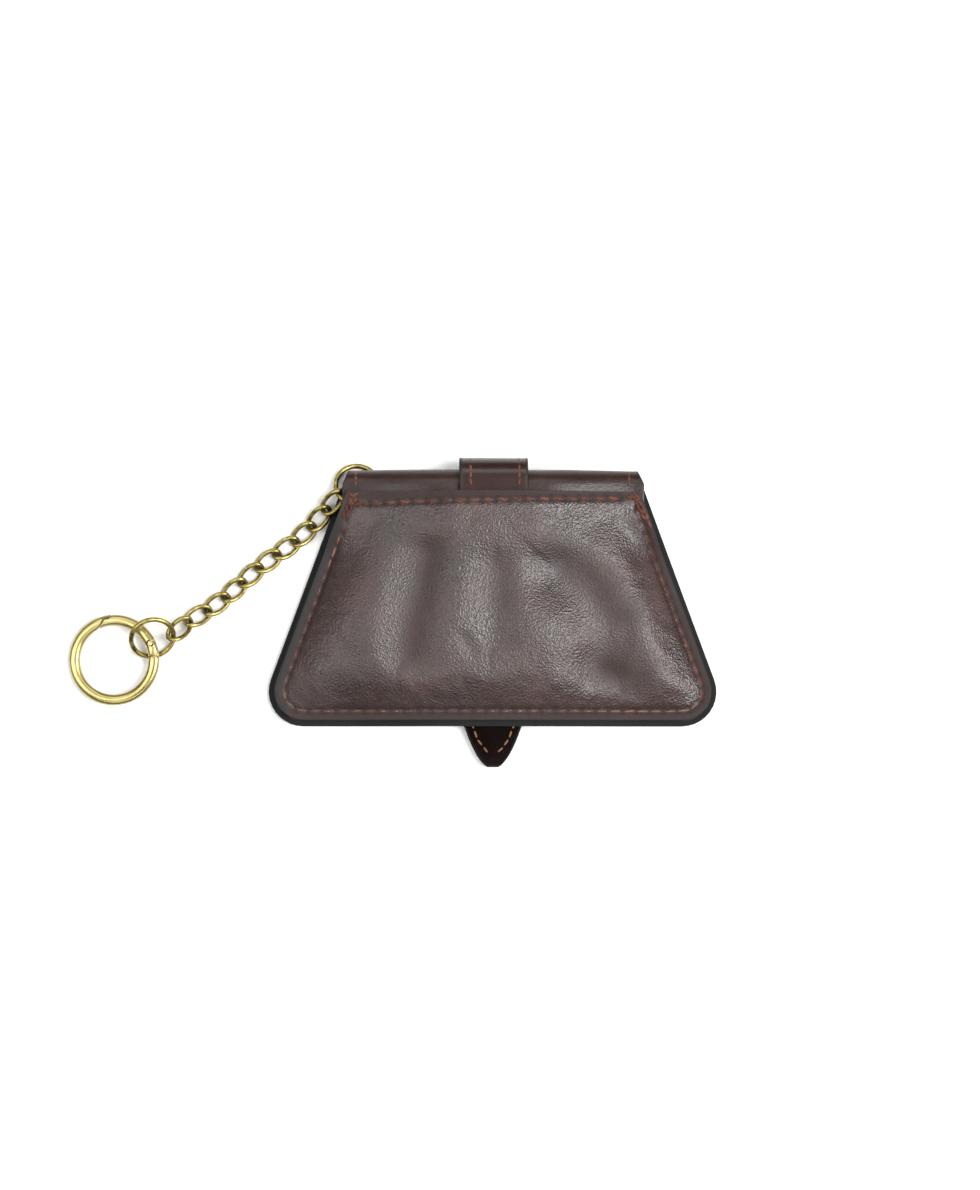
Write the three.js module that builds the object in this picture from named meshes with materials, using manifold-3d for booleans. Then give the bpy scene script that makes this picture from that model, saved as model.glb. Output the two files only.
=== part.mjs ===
import * as THREE from "three";
import { mergeVertices } from "three/addons/utils/BufferGeometryUtils.js";
import Module from "manifold-3d";

// A small leather satchel purse lying face down, with a curb chain and a spring gate ring, in millimetres.
// +X runs along the bottom edge, +Y from the bottom edge up to the spine, +Z up from the table.

const wasm = await Module();
wasm.setup();

const { clamp, lerp, smoothstep, degToRad, radToDeg } = THREE.MathUtils;

// Leather and the space that neighbouring layers keep
const gap = 0.3;
const cutPast = 1; // how far a cut runs past the face that it opens
const flapLeather = 1.8;
const panelLeather = 1.4;
const strapLeather = 1.3;

// Outline of the flap in plan, which the pouch follows further in
const spineY = 34.9;
const bottomY = -35.5;
const spineHalfWidth = 39.8;
const bottomHalfWidth = 65.9; // where the straight sides would meet the bottom edge
const cornerRadius = 9.6;
const pouchInset = 1.7;

// Heights of the bag and the bend of its spine
const spineBend = 4.45; // outer radius of the flap's bend under the strap
const spineDrop = 4.2; // how much lower the bend's top is at its two ends
const crownHeight = 13.2; // underside of the back panel at its fullest
const liftRun = 26; // how far beside the strap the flap takes to come down to the table
const bendBlend = 4; // how late on the way to the spine the flap's rows follow the bend, as a power

// Pouch
const backTopY = 28.7;
const frontTopY = 22.6;
const flapTuck = 5.5; // length of the flap sewn under the back panel's top edge
const seamFlange = 3.0; // flat sewn margin round the pouch
const quickRise = 10; // width over which the stuffed back climbs from the margin
const slowRise = 30; // width over which it comes to its crown
const quickShare = 0.3; // how much of the height the quick climb takes
const tuckEase = 0.8; // how far the back panel stays level past the tucked edge of the flap
const topBlend = 13; // length over which the stuffed back leaves that level

// Closing strap
const strapWidth = 18.7;
const strapTipY = -46.7;
const strapTuck = 7.2; // length of the strap's outer leather under the back panel
const tongueLength = 15.9; // length of the pointed end
const tongueTipWidth = 3.0;
const liningEnd = 25; // degrees round the spine where the lining stops
const tuckStart = 30; // degrees round the spine where the outer leather closes on to the flap
const strapEase = 4.5; // how far past the strap's edges the layers over it stay level

// Strap stud
const studY = -21;
const studHead = 8.0;
const studPost = 4.0;
const studHeadHeight = 0.9;
const studSides = 20;

// Round wire rings
const wireRingSteps = 24;
const wireRingSides = 8;

// Bag ring, held in a hole at the flap's corner
const bagRingOuter = 12.9;
const bagRingWire = 1.4;
const bagRingDown = 3.9; // its centre from the spine
const bagRingIn = 3.64; // and from the flap's side there
const bagRingTilt = 20;
const bagRingHole = 0.5; // clearance round the wire in the leather
const bagRingHook = 213; // azimuth on the ring where the first link hangs

// Curb chain
const linkLength = 8.9;
const linkWidth = 5.4;
const linkWire = 1.1;
const linkTwist = 45;
const linkRoundness = 0.75; // 1 makes the link an ellipse, less makes its ends rounder
const linkPlay = 0.55;
const linkSteps = 14;
const linkSides = 6;

// Jump ring
const jumpOuter = 13.2;
const jumpWire = 1.4;
const jumpTilt = 36;
const jumpTiltAxis = 20; // azimuth of the line that it tilts about
const jumpHook = 6; // azimuth on the ring where the last link hangs

// Spring gate ring
const gateRingOuter = 25;
const gateRingWidth = 3.0;
const gateRingHeight = 2.6;
const gateRingLift = 5.6; // degrees that its right side is lifted by the jump ring under it
const gateRingAcross = 10.5; // its centre from the jump ring's centre
const gateRingDown = 6.0;
const heelAngle = 8; // azimuth of the gate's heel
const rivetAngle = 24;
const noseAngle = 91; // azimuth of the cut between the gate's tip and the nose
const tongueHeight = 0.9;
const rivetRadius = 0.75;
const rivetSides = 16;
const hingeSides = 24;
const heelGap = 0.5;
const hingeReach = 15; // degrees past the heel where the hinge tongue grows out of the fixed ring
const ringSquareness = 2.8; // 2 makes the ring's section an ellipse, more makes it squarer
const ringSectionSides = 12;
const ringSteps = 48;

// The stepped cut between the gate's tip and the nose, in shares of the ring's half width: along the ring and out
// from its centre line
const noseSteps = [
  { along: 2.0, out: 3.3 },
  { along: -0.1, out: 1.1 },
  { along: -1.0, out: 0.1 },
  { along: -1.7, out: -0.05 },
  { along: -2.35, out: -1.15 },
  { along: -3.6, out: -3.3 },
];

// The chain's chosen route from the bag ring to the jump ring: how far each link turns from the direction of the
// flap's side and how it rolls, in degrees, and how high its middle is over a link that lies on the table
const chainRoute = [
  { turn: -21.7, lift: 1.96, roll: -12 },
  { turn: -20.7, lift: 0.7, roll: -6 },
  { turn: -26.7, lift: 0.15, roll: 0 },
  { turn: -34.7, lift: 0, roll: 0 },
  { turn: -32.7, lift: 0, roll: 0 },
  { turn: -27.7, lift: 0, roll: 0 },
  { turn: -27.7, lift: 0, roll: 0 },
  { turn: -33.7, lift: 0, roll: 0 },
  { turn: -39.7, lift: 0.35, roll: 4 },
  { turn: -26.7, lift: 1.8, roll: -4 },
];

// Soft folds and dents of the back panel: x as a share of the bottom half width, y of the panel's height from its
// bottom edge, the width of the panel's height and the depth of the crown's height
const backFolds = [
  { x1: -0.24, y1: 0.74, x2: -0.32, y2: 0.26, width: 0.075, depth: 0.09 },
  { x1: 0.03, y1: 0.7, x2: 0.03, y2: 0.2, width: 0.07, depth: 0.07 },
  { x1: 0.24, y1: 0.76, x2: 0.52, y2: 0.42, width: 0.08, depth: 0.1 },
  { x1: 0.52, y1: 0.42, x2: 0.56, y2: 0.24, width: 0.06, depth: 0.09 },
  { x1: 0.55, y1: 0.2, x2: 0.58, y2: 0.19, width: 0.075, depth: 0.12 },
  { x1: -0.16, y1: 0.9, x2: -0.15, y2: 0.84, width: 0.04, depth: 0.05 },
  { x1: -0.62, y1: 0.3, x2: -0.52, y2: 0.16, width: 0.06, depth: 0.06 },
];

// Sizes that follow
const strapHalfWidth = strapWidth / 2;
const strapStack = 2 * strapLeather + 2 * gap; // what the flap lies on over the strap
const spineHeight = strapStack + 2 * spineBend; // top of the flap's tucked edge
const panelStack = flapLeather + gap; // underside of the front panel over the flap's underside
const marginStack = panelStack + panelLeather + gap; // underside of the back panel there
const sideSlope = (bottomHalfWidth - spineHalfWidth) / (spineY - bottomY);
const sideStretch = Math.hypot(1, sideSlope);
const panelHeight = backTopY - bottomY - pouchInset;
const sideHeading = 270 - radToDeg(Math.atan(sideSlope)); // azimuth of the flap's left side, downwards

// Helpers for solids

function solidOf(geometry) {
  const bare = geometry.clone();
  bare.deleteAttribute("normal");
  bare.deleteAttribute("uv");
  const merged = mergeVertices(bare, 1e-4);
  return new wasm.Manifold(
    new wasm.Mesh({
      numProp: 3,
      vertProperties: merged.attributes.position.array,
      triVerts: new Uint32Array(merged.index.array),
    }),
  );
}

function geometryOf(solid) {
  const mesh = solid.getMesh();
  const geometry = new THREE.BufferGeometry();
  geometry.setAttribute("position", new THREE.BufferAttribute(mesh.vertProperties, 3));
  geometry.setIndex(new THREE.BufferAttribute(mesh.triVerts, 1));
  geometry.computeVertexNormals();
  return geometry;
}

function uprightCylinder(radius, fromZ, toZ, x, y, sides) {
  const geometry = new THREE.CylinderGeometry(radius, radius, toZ - fromZ, sides);
  geometry.rotateX(Math.PI / 2);
  geometry.translate(x, y, (fromZ + toZ) / 2);
  return solidOf(geometry);
}

function uprightPrism(points, fromZ, toZ) {
  const geometry = new THREE.ExtrudeGeometry(new THREE.Shape(points), {
    depth: toZ - fromZ,
    bevelEnabled: false,
  });
  geometry.translate(0, 0, fromZ);
  return solidOf(geometry);
}

function polar(radius, azimuth) {
  return new THREE.Vector2(radius * Math.cos(degToRad(azimuth)), radius * Math.sin(degToRad(azimuth)));
}

function signedPower(value, exponent) {
  return Math.sign(value) * Math.abs(value) ** exponent;
}

// Leather sheets

// A bent sheet: a box whose vertices are placed by place(u, v, w), with u across the sheet, v along it and w
// through the leather, each from 0 to 1.
function sheet(columns, rows, place) {
  const geometry = new THREE.BoxGeometry(1, 1, 1, columns, rows, 1);
  const position = geometry.attributes.position;
  for (let i = 0; i < position.count; i += 1) {
    const point = place(position.getX(i) + 0.5, position.getY(i) + 0.5, position.getZ(i) + 0.5);
    position.setXYZ(i, point.x, point.y, point.z);
  }
  geometry.computeVertexNormals();
  return geometry;
}

function sideHalfWidth(y) {
  return bottomHalfWidth - sideSlope * (y - bottomY);
}

// Half the width at y of the outline drawn in by inset, with its rounded bottom corners.
function halfWidthAt(y, inset) {
  const centreY = bottomY + cornerRadius;
  const radius = cornerRadius - inset;
  if (y >= centreY + (radius * sideSlope) / sideStretch) {
    return sideHalfWidth(y) - inset * sideStretch;
  }
  const centreX = sideHalfWidth(centreY) - cornerRadius * sideStretch;
  return centreX + Math.sqrt(Math.max(radius ** 2 - (y - centreY) ** 2, 0));
}

// The y of a row of a sheet, with cornerRows rows round the bottom corners and the rest evenly up to topY.
const cornerRows = 4;
function rowY(row, rows, inset, topY) {
  const radius = cornerRadius - inset;
  const cornerHeight = radius * (1 + sideSlope / sideStretch);
  const startY = bottomY + inset;
  if (row <= cornerRows) {
    return startY + cornerHeight * (1 - Math.cos(((row / cornerRows) * Math.PI) / 2));
  }
  return lerp(startY + cornerHeight, topY, (row - cornerRows) / (rows - cornerRows));
}

// The x of a column. The inner columns stand at the same x in every sheet, at the strap's edge and along the lift
// beside it, so that the sheets keep their distance there; the outer ones fan out and crowd towards the sides.
const strapColumnsEach = 2;
const liftColumns = 4;
const outerColumns = 7;
const innerColumns = strapColumnsEach + 1 + liftColumns;
const sheetColumns = 2 * (innerColumns + outerColumns);
const columnCrowding = 1.5;
function columnX(u, halfWidth) {
  const column = Math.round((u - 0.5) * sheetColumns);
  const from = Math.abs(column);
  const level = strapHalfWidth + strapEase;
  const past = from - strapColumnsEach - 1;
  if (from <= strapColumnsEach) {
    return (Math.sign(column) * strapHalfWidth * from) / strapColumnsEach;
  }
  if (past <= liftColumns) {
    return Math.sign(column) * (level + (liftRun * past) / liftColumns);
  }
  const share = 1 - (1 - (past - liftColumns) / outerColumns) ** columnCrowding;
  return Math.sign(column) * lerp(level + liftRun, halfWidth, share);
}

// How high the strap under it lifts the flap at x.
function flapLift(x) {
  const level = strapHalfWidth + strapEase;
  return strapStack * (1 - smoothstep(Math.abs(x), level, level + liftRun));
}

// How high the top of the flap's bend and of its tucked edge is at x.
function spineTop(x) {
  return spineHeight - spineDrop * smoothstep(Math.abs(x), strapHalfWidth + strapEase, spineHalfWidth);
}

const flapFrontRows = 11;
const flapBendRows = 10;
const flapTuckRows = 2;
const flapRows = flapFrontRows + flapBendRows + flapTuckRows;

function flapPlace(u, v, w) {
  const row = Math.round(v * flapRows);
  const bendRow = row - flapFrontRows;
  const tuckRow = bendRow - flapBendRows;
  const turn = lerp(-Math.PI / 2, Math.PI / 2, bendRow / flapBendRows);
  const through = w * flapLeather;
  if (bendRow <= 0) {
    const share = (y) => (y - bottomY) / (spineY - spineBend - bottomY);
    const evenY = rowY(row, flapFrontRows, 0, spineY - spineBend);
    const x = columnX(u, halfWidthAt(evenY, 0));
    const bend = (spineTop(x) - flapLift(x)) / 2;
    const y = evenY - (bend - spineBend) * share(evenY) ** bendBlend;
    return new THREE.Vector3(x, y, flapLift(x) + through);
  }
  if (tuckRow <= 0) {
    const x = columnX(u, halfWidthAt(spineY - spineBend * (1 - Math.cos(turn)), 0));
    const bend = (spineTop(x) - flapLift(x)) / 2;
    const y = spineY - bend + (bend - through) * Math.cos(turn);
    return new THREE.Vector3(x, y, spineTop(x) - bend + (bend - through) * Math.sin(turn));
  }
  const x = columnX(u, halfWidthAt(spineY - spineBend, 0));
  const bend = (spineTop(x) - flapLift(x)) / 2;
  const y = lerp(spineY - bend, backTopY - flapTuck, tuckRow / flapTuckRows);
  return new THREE.Vector3(x, y, spineTop(x) - through);
}

const frontRows = 10;

function frontPlace(u, v, w) {
  const y = rowY(Math.round(v * frontRows), frontRows, pouchInset, frontTopY);
  const x = columnX(u, halfWidthAt(y, pouchInset));
  return new THREE.Vector3(x, y, flapLift(x) + panelStack + w * panelLeather);
}

// How deep a fold presses the back in at x, y.
function foldDepth(fold, x, y) {
  const from = new THREE.Vector2(fold.x1 * bottomHalfWidth, bottomY + pouchInset + fold.y1 * panelHeight);
  const to = new THREE.Vector2(fold.x2 * bottomHalfWidth, bottomY + pouchInset + fold.y2 * panelHeight);
  const along = to.clone().sub(from);
  const share = new THREE.Vector2(x, y).sub(from).dot(along) / along.lengthSq();
  const nearest = from.add(along.multiplyScalar(clamp(share, 0, 1)));
  const far = nearest.distanceTo(new THREE.Vector2(x, y)) / (fold.width * panelHeight);
  return fold.depth * crownHeight * Math.exp(-(far ** 2));
}

// The stuffed rise, from 0 at the margin to 1 where the panel is full.
function fullness(distance) {
  const climb = (run) => Math.sin((clamp((distance - seamFlange) / run, 0, 1) * Math.PI) / 2);
  return lerp(climb(slowRise), climb(quickRise), quickShare);
}

// The underside of the back panel over the table.
function backHeight(x, y) {
  const fromSide = (halfWidthAt(y, pouchInset) - Math.abs(x)) / sideStretch;
  const full = fullness(fromSide) * fullness(y - bottomY - pouchInset);
  const margin = flapLift(x) + marginStack;
  const folds = backFolds.reduce((sum, fold) => sum + foldDepth(fold, x, y), 0);
  const stuffed = lerp(margin, crownHeight, full) - folds * full;
  const overStrap = 1 - smoothstep(Math.abs(x), strapHalfWidth + strapEase, strapHalfWidth + 2 * strapEase);
  const topEdge = spineTop(x) + gap + (strapLeather + gap) * overStrap;
  const levelY = backTopY - flapTuck - tuckEase;
  return lerp(stuffed, topEdge, smoothstep(y, levelY - topBlend, levelY));
}

const backRows = 18;

function backPlace(u, v, w) {
  const y = rowY(Math.round(v * backRows), backRows, pouchInset, backTopY);
  const x = columnX(u, halfWidthAt(y, pouchInset));
  return new THREE.Vector3(x, y, backHeight(x, y) + w * panelLeather);
}

// Closing strap

const tongueRows = 5;
const strapRows = 5;
const strapBendStep = 13; // degrees of the bend to a row
const strapTuckRows = 3;
const strapColumns = 4;

function strapHalfWidthAt(y) {
  const share = clamp((y - strapTipY) / tongueLength, 0, 1);
  const tip = tongueTipWidth / 2;
  return Math.sqrt(lerp(tip ** 2, strapHalfWidth ** 2, share));
}

// A strap leather between two distances from the flap: straight up the front from the tip, round the spine to
// endAngle and, with a tuck, on down the back. close is how far it closes on to the flap past tuckStart.
function strapPlace(inner, close, endAngle, tuck) {
  const bendRows = Math.round((endAngle + 90) / strapBendStep);
  const rows = tongueRows + strapRows + bendRows + (tuck > 0 ? strapTuckRows : 0);
  const bendCentreY = spineY - spineBend;
  const bendCentreZ = strapStack + spineBend;
  const place = (u, v, w) => {
    const row = Math.round(v * rows);
    const frontRow = row - tongueRows;
    const bendRow = frontRow - strapRows;
    const tuckRow = bendRow - bendRows;
    const turn = lerp(-90, endAngle, clamp(bendRow / bendRows, 0, 1));
    const away = spineBend + inner - close * smoothstep(turn, tuckStart, 90) + (1 - w) * strapLeather;
    let y = lerp(strapTipY, strapTipY + tongueLength, Math.min(row / tongueRows, 1) ** 2);
    if (frontRow > 0) {
      y = lerp(strapTipY + tongueLength, bendCentreY, Math.min(frontRow / strapRows, 1));
    }
    const x = (2 * u - 1) * strapHalfWidthAt(y);
    if (bendRow > 0) {
      y = bendCentreY + away * Math.cos(degToRad(turn));
    }
    if (tuckRow > 0) {
      y = lerp(bendCentreY, backTopY - tuck, tuckRow / strapTuckRows);
    }
    return new THREE.Vector3(x, y, bendCentreZ + away * Math.sin(degToRad(turn)));
  };
  return sheet(strapColumns, rows, place);
}

const liningInner = gap;
const outerInner = 2 * gap + strapLeather;

function strapStudSolid() {
  const foot = strapLeather + gap;
  const head = strapStack + flapLeather;
  const post = uprightCylinder(studPost / 2, foot, head, 0, studY, studSides);
  return post.add(uprightCylinder(studHead / 2, head - studHeadHeight, head, 0, studY, studSides));
}

function studHole() {
  const past = strapStack + flapLeather + cutPast;
  const post = uprightCylinder(studPost / 2 + gap, strapLeather, past, 0, studY, studSides);
  const shelf = strapStack + flapLeather - studHeadHeight - gap;
  return post.add(uprightCylinder(studHead / 2 + gap, shelf, past, 0, studY, studSides));
}

// Rings and chain

function tiltedRing(outer, wire, tilt, tiltAxis) {
  const geometry = new THREE.TorusGeometry((outer - wire) / 2, wire / 2, wireRingSides, wireRingSteps);
  const axis = new THREE.Vector3(Math.cos(degToRad(tiltAxis)), Math.sin(degToRad(tiltAxis)), 0);
  geometry.applyMatrix4(new THREE.Matrix4().makeRotationAxis(axis, degToRad(tilt)));
  return geometry;
}

// The point of a ring's centre line at an azimuth of its own circle, from the ring's centre.
function onTiltedRing(radius, tilt, tiltAxis, azimuth) {
  const flat = polar(radius, azimuth);
  const axis = new THREE.Vector3(Math.cos(degToRad(tiltAxis)), Math.sin(degToRad(tiltAxis)), 0);
  return new THREE.Vector3(flat.x, flat.y, 0).applyAxisAngle(axis, degToRad(tilt));
}

// A curb link: a long round of wire along X, twisted about its length so that its two ends stand crosswise.
function linkGeometry() {
  const halfLength = (linkLength - linkWire) / 2;
  const halfWidth = (linkWidth - linkWire) / 2;
  const geometry = new THREE.TorusGeometry(1, 0.5, linkSides, linkSteps);
  const position = geometry.attributes.position;
  for (let i = 0; i < position.count; i += 1) {
    const x = position.getX(i);
    const y = position.getY(i);
    const ring = Math.hypot(x, y);
    const outward = (ring - 1) * linkWire;
    const normal = new THREE.Vector2(
      halfWidth * signedPower(x / ring, 2 - linkRoundness),
      halfLength * signedPower(y / ring, 2 - linkRoundness),
    ).normalize();
    const along = signedPower(x / ring, linkRoundness);
    const across = halfWidth * signedPower(y / ring, linkRoundness) + outward * normal.y;
    const point = new THREE.Vector3(0, across, position.getZ(i) * linkWire);
    point.applyAxisAngle(new THREE.Vector3(1, 0, 0), degToRad(linkTwist) * along);
    position.setXYZ(i, halfLength * along + outward * normal.x, point.y, point.z);
  }
  geometry.computeVertexNormals();
  return geometry;
}

function layAlong(mesh, centre, direction, roll) {
  const side = new THREE.Vector3(0, 0, 1).cross(direction).normalize().applyAxisAngle(direction, degToRad(roll));
  const up = direction.clone().cross(side);
  mesh.quaternion.setFromRotationMatrix(new THREE.Matrix4().makeBasis(direction, side, up));
  mesh.position.copy(centre);
}

const bagRingRadius = (bagRingOuter - bagRingWire) / 2;
const bagRingCentre = new THREE.Vector3(
  bagRingIn - sideHalfWidth(spineY - bagRingDown),
  spineY - bagRingDown,
  bagRingWire / 2 + bagRingRadius * Math.sin(degToRad(bagRingTilt)),
);

function bagRingGeometry(wire) {
  const geometry = tiltedRing(bagRingOuter - bagRingWire + wire, wire, -bagRingTilt, 0);
  geometry.translate(...bagRingCentre.toArray());
  return geometry;
}

const jumpRadius = (jumpOuter - jumpWire) / 2;
const jumpHeight = jumpWire / 2 + jumpRadius * Math.sin(degToRad(jumpTilt));
const jumpArm = onTiltedRing(jumpRadius, jumpTilt, jumpTiltAxis, jumpHook);

// The chain hangs on the bag ring at chainStart and runs link by link to the jump ring.
const linkPitch = linkLength - 2 * linkWire - linkPlay;
const linkFlat = -new THREE.Box3().setFromBufferAttribute(linkGeometry().attributes.position).min.z;
const hookOn = (wire) => (linkLength - linkWire) / 2 - (wire + linkWire) / 2 - linkPlay / 2;
const chainStart = onTiltedRing(bagRingRadius, -bagRingTilt, 0, bagRingHook).add(bagRingCentre);
const linkHeights = chainRoute.map(({ lift }) => linkFlat + lift);
const lastLink = chainRoute.length - 1;

// The direction of a link, which slopes as the chain does between its two neighbours.
function linkDirection({ turn }, i) {
  const before = i > 0 ? linkHeights[i - 1] : chainStart.z;
  const after = i < lastLink ? linkHeights[i + 1] : jumpHeight + jumpArm.z;
  const run = (i > 0 ? linkPitch : hookOn(bagRingWire)) + (i < lastLink ? linkPitch : hookOn(jumpWire));
  const slope = Math.asin((after - before) / run);
  const flat = polar(Math.cos(slope), sideHeading + turn);
  return new THREE.Vector3(flat.x, flat.y, Math.sin(slope));
}

const linkDirections = chainRoute.map(linkDirection);
const linkCentres = [];
linkDirections.forEach((direction, i) => {
  const centre = i > 0 ? linkCentres[i - 1].clone() : chainStart.clone();
  if (i > 0) {
    centre.addScaledVector(linkDirections[i - 1], linkPitch / 2).addScaledVector(direction, linkPitch / 2);
  } else {
    centre.addScaledVector(direction, hookOn(bagRingWire));
  }
  centre.z = linkHeights[i];
  linkCentres.push(centre);
});

const jumpCentre = linkCentres[lastLink]
  .clone()
  .addScaledVector(linkDirections[lastLink], hookOn(jumpWire))
  .sub(jumpArm)
  .setZ(jumpHeight);

// Spring gate ring, about its own centre

const gateRadius = (gateRingOuter - gateRingWidth) / 2;
const wireHalf = gateRingWidth / 2;
const tallHalf = gateRingHeight / 2;
const rivet = polar(gateRadius, rivetAngle);
const farOut = gateRingOuter; // past the ring's outside
const farIn = gateRadius / 3; // well inside the ring's hole

function gateRingSolid() {
  const profile = [];
  for (let i = 0; i <= ringSectionSides; i += 1) {
    const turn = ((i + 0.5) / ringSectionSides) * 2 * Math.PI;
    const across = signedPower(Math.cos(turn), 2 / ringSquareness);
    const up = signedPower(Math.sin(turn), 2 / ringSquareness);
    profile.push(new THREE.Vector2(gateRadius + wireHalf * across, tallHalf * up));
  }
  const geometry = new THREE.LatheGeometry(profile, ringSteps);
  geometry.rotateX(Math.PI / 2);
  return solidOf(geometry);
}

// The plan of the gate: from its stepped tip at the nose, clockwise to its heel. shift moves the tip's edge away
// from the gate and turn moves the heel's, for the room that the fixed ring leaves.
function gateZone(shift, turn) {
  const step = polar(1, noseAngle);
  const tip = noseSteps.map(({ along, out }) => {
    const radial = gateRadius + out * wireHalf + shift;
    const tangent = along * wireHalf - shift;
    return new THREE.Vector2(
      step.x * radial + step.y * tangent,
      step.y * radial - step.x * tangent,
    );
  });
  const heel = [polar(farIn, heelAngle - turn), polar(farOut, heelAngle - turn)];
  return uprightPrism([...tip, ...heel, polar(2 * farOut, (heelAngle + noseAngle) / 2)], -farOut, farOut);
}

// The plan round the hinge where the fixed ring's tongue lies between the gate's cheeks.
function hingeZone(height, room) {
  const wedge = [
    polar(farIn, heelAngle - hingeReach),
    polar(farOut, heelAngle - hingeReach),
    polar(farOut, rivetAngle),
    polar(farIn, rivetAngle),
  ];
  const round = uprightCylinder(wireHalf + room, -height / 2, height / 2, rivet.x, rivet.y, hingeSides);
  return uprightPrism(wedge, -height / 2, height / 2).add(round);
}

const wholeRing = gateRingSolid();
const rivetHole = uprightCylinder(
  rivetRadius + gap,
  -tallHalf - cutPast,
  tallHalf + cutPast,
  rivet.x,
  rivet.y,
  rivetSides,
);
const heelTurn = radToDeg(heelGap / gateRadius);

function springRingSolid() {
  const body = wholeRing.subtract(gateZone(gap, heelTurn));
  return body.add(wholeRing.intersect(hingeZone(tongueHeight, 0))).subtract(rivetHole);
}

function ringGateSolid() {
  const gate = wholeRing.intersect(gateZone(0, 0));
  return gate.subtract(hingeZone(tongueHeight + 2 * gap, gap)).subtract(rivetHole);
}

function rivetSolid() {
  return uprightCylinder(rivetRadius, -tallHalf, tallHalf, rivet.x, rivet.y, rivetSides);
}

// Assembly

const satchel = new THREE.Group();

function addPiece(name, geometry, finish, parent = satchel) {
  const mesh = new THREE.Mesh(geometry, new THREE.MeshStandardMaterial(finish));
  mesh.name = name;
  parent.add(mesh);
  return mesh;
}

const brownLeather = { color: "#54413d", roughness: 0.5, metalness: 0 };
const darkLeather = { color: "#1c0f0d", roughness: 0.3, metalness: 0 };
const brass = { color: "#b79f52", roughness: 0.3, metalness: 1 };
const darkBrass = { color: "#9a854a", roughness: 0.4, metalness: 1 };

addPiece("back_panel", sheet(sheetColumns, backRows, backPlace), brownLeather);
addPiece("front_panel", sheet(sheetColumns, frontRows, frontPlace), brownLeather);

const flapSolid = solidOf(sheet(sheetColumns, flapRows, flapPlace))
  .subtract(solidOf(bagRingGeometry(bagRingWire + 2 * bagRingHole)))
  .subtract(studHole());
addPiece("flap", geometryOf(flapSolid), brownLeather);

addPiece("strap_outer", strapPlace(outerInner, strapLeather + gap, 90, strapTuck), brownLeather);
const liningSolid = solidOf(strapPlace(liningInner, 0, liningEnd, 0)).subtract(studHole());
addPiece("strap_lining", geometryOf(liningSolid), darkLeather);
addPiece("strap_stud", geometryOf(strapStudSolid()), brass);

addPiece("bag_ring", bagRingGeometry(bagRingWire), darkBrass);
linkCentres.forEach((centre, i) => {
  const name = `chain_link_${String(i + 1).padStart(2, "0")}`;
  layAlong(addPiece(name, linkGeometry(), darkBrass), centre, linkDirections[i], chainRoute[i].roll);
});

const jumpRing = addPiece("jump_ring", tiltedRing(jumpOuter, jumpWire, jumpTilt, jumpTiltAxis), darkBrass);
jumpRing.position.copy(jumpCentre);

const gateRing = new THREE.Group();
gateRing.position.set(
  jumpCentre.x - gateRingAcross,
  jumpCentre.y - gateRingDown,
  tallHalf + gateRadius * Math.sin(degToRad(gateRingLift)),
);
gateRing.rotation.y = -degToRad(gateRingLift);
satchel.add(gateRing);
addPiece("spring_ring", geometryOf(springRingSolid()), brass, gateRing);
addPiece("ring_gate", geometryOf(ringGateSolid()), brass, gateRing);
addPiece("gate_rivet", geometryOf(rivetSolid()), brass, gateRing);

export default satchel;
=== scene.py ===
import math
import random

import bmesh
import bpy
import numpy
from mathutils import Matrix, Vector, noise
from mathutils.bvhtree import BVHTree


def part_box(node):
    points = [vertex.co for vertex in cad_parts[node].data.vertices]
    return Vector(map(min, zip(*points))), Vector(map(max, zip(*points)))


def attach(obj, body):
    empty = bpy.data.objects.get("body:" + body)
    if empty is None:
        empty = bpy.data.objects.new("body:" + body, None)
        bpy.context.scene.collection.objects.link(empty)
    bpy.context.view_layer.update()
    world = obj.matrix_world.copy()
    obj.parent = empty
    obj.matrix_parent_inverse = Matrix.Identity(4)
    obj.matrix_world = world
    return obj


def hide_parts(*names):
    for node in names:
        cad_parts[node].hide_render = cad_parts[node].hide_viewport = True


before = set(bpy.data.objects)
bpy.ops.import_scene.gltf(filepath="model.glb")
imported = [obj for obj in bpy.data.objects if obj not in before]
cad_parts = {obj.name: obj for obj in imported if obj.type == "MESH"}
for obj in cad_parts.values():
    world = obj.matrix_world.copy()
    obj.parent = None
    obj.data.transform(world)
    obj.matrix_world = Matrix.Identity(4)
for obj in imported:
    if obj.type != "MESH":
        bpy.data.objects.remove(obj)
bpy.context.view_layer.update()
scene = bpy.context.scene
random.seed(11)
mm = 0.001
up = Vector((0, 0, 1))

# Camera and lights

view = {
    "lookAt": (-0.85, 0.6, 4),  # mm, what the middle of the photo shows
    "distance": 1100,
    "fromBelow": 3.0,  # degrees off straight down, towards the bottom edge
    "fromLeft": 1.5,
    "frameHeight": 327.5,  # mm of the table that the photo's height takes in
    "sensor": 36,
    "nearest": 0.01, "farthest": 20,  # m
}


def setCamera():
    lens = bpy.data.cameras.new("camera")
    lens.sensor_width = view["sensor"]
    lens.lens = view["sensor"] * view["distance"] / view["frameHeight"]
    lens.clip_start, lens.clip_end = view["nearest"], view["farthest"]
    lean = Vector((
        -math.tan(math.radians(view["fromLeft"])),
        -math.tan(math.radians(view["fromBelow"])),
        1,
    )).normalized()
    # the photo's upright edge stays along Y
    right = Vector((0, 1, 0)).cross(lean).normalized()
    top = lean.cross(right)
    camera = bpy.data.objects.new("camera", lens)
    camera.location = Vector(view["lookAt"]) * mm + lean * view["distance"] * mm
    camera.rotation_mode = "QUATERNION"
    camera.rotation_quaternion = Matrix((right, top, lean)).transposed().to_quaternion()
    scene.collection.objects.link(camera)
    scene.camera = camera


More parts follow.
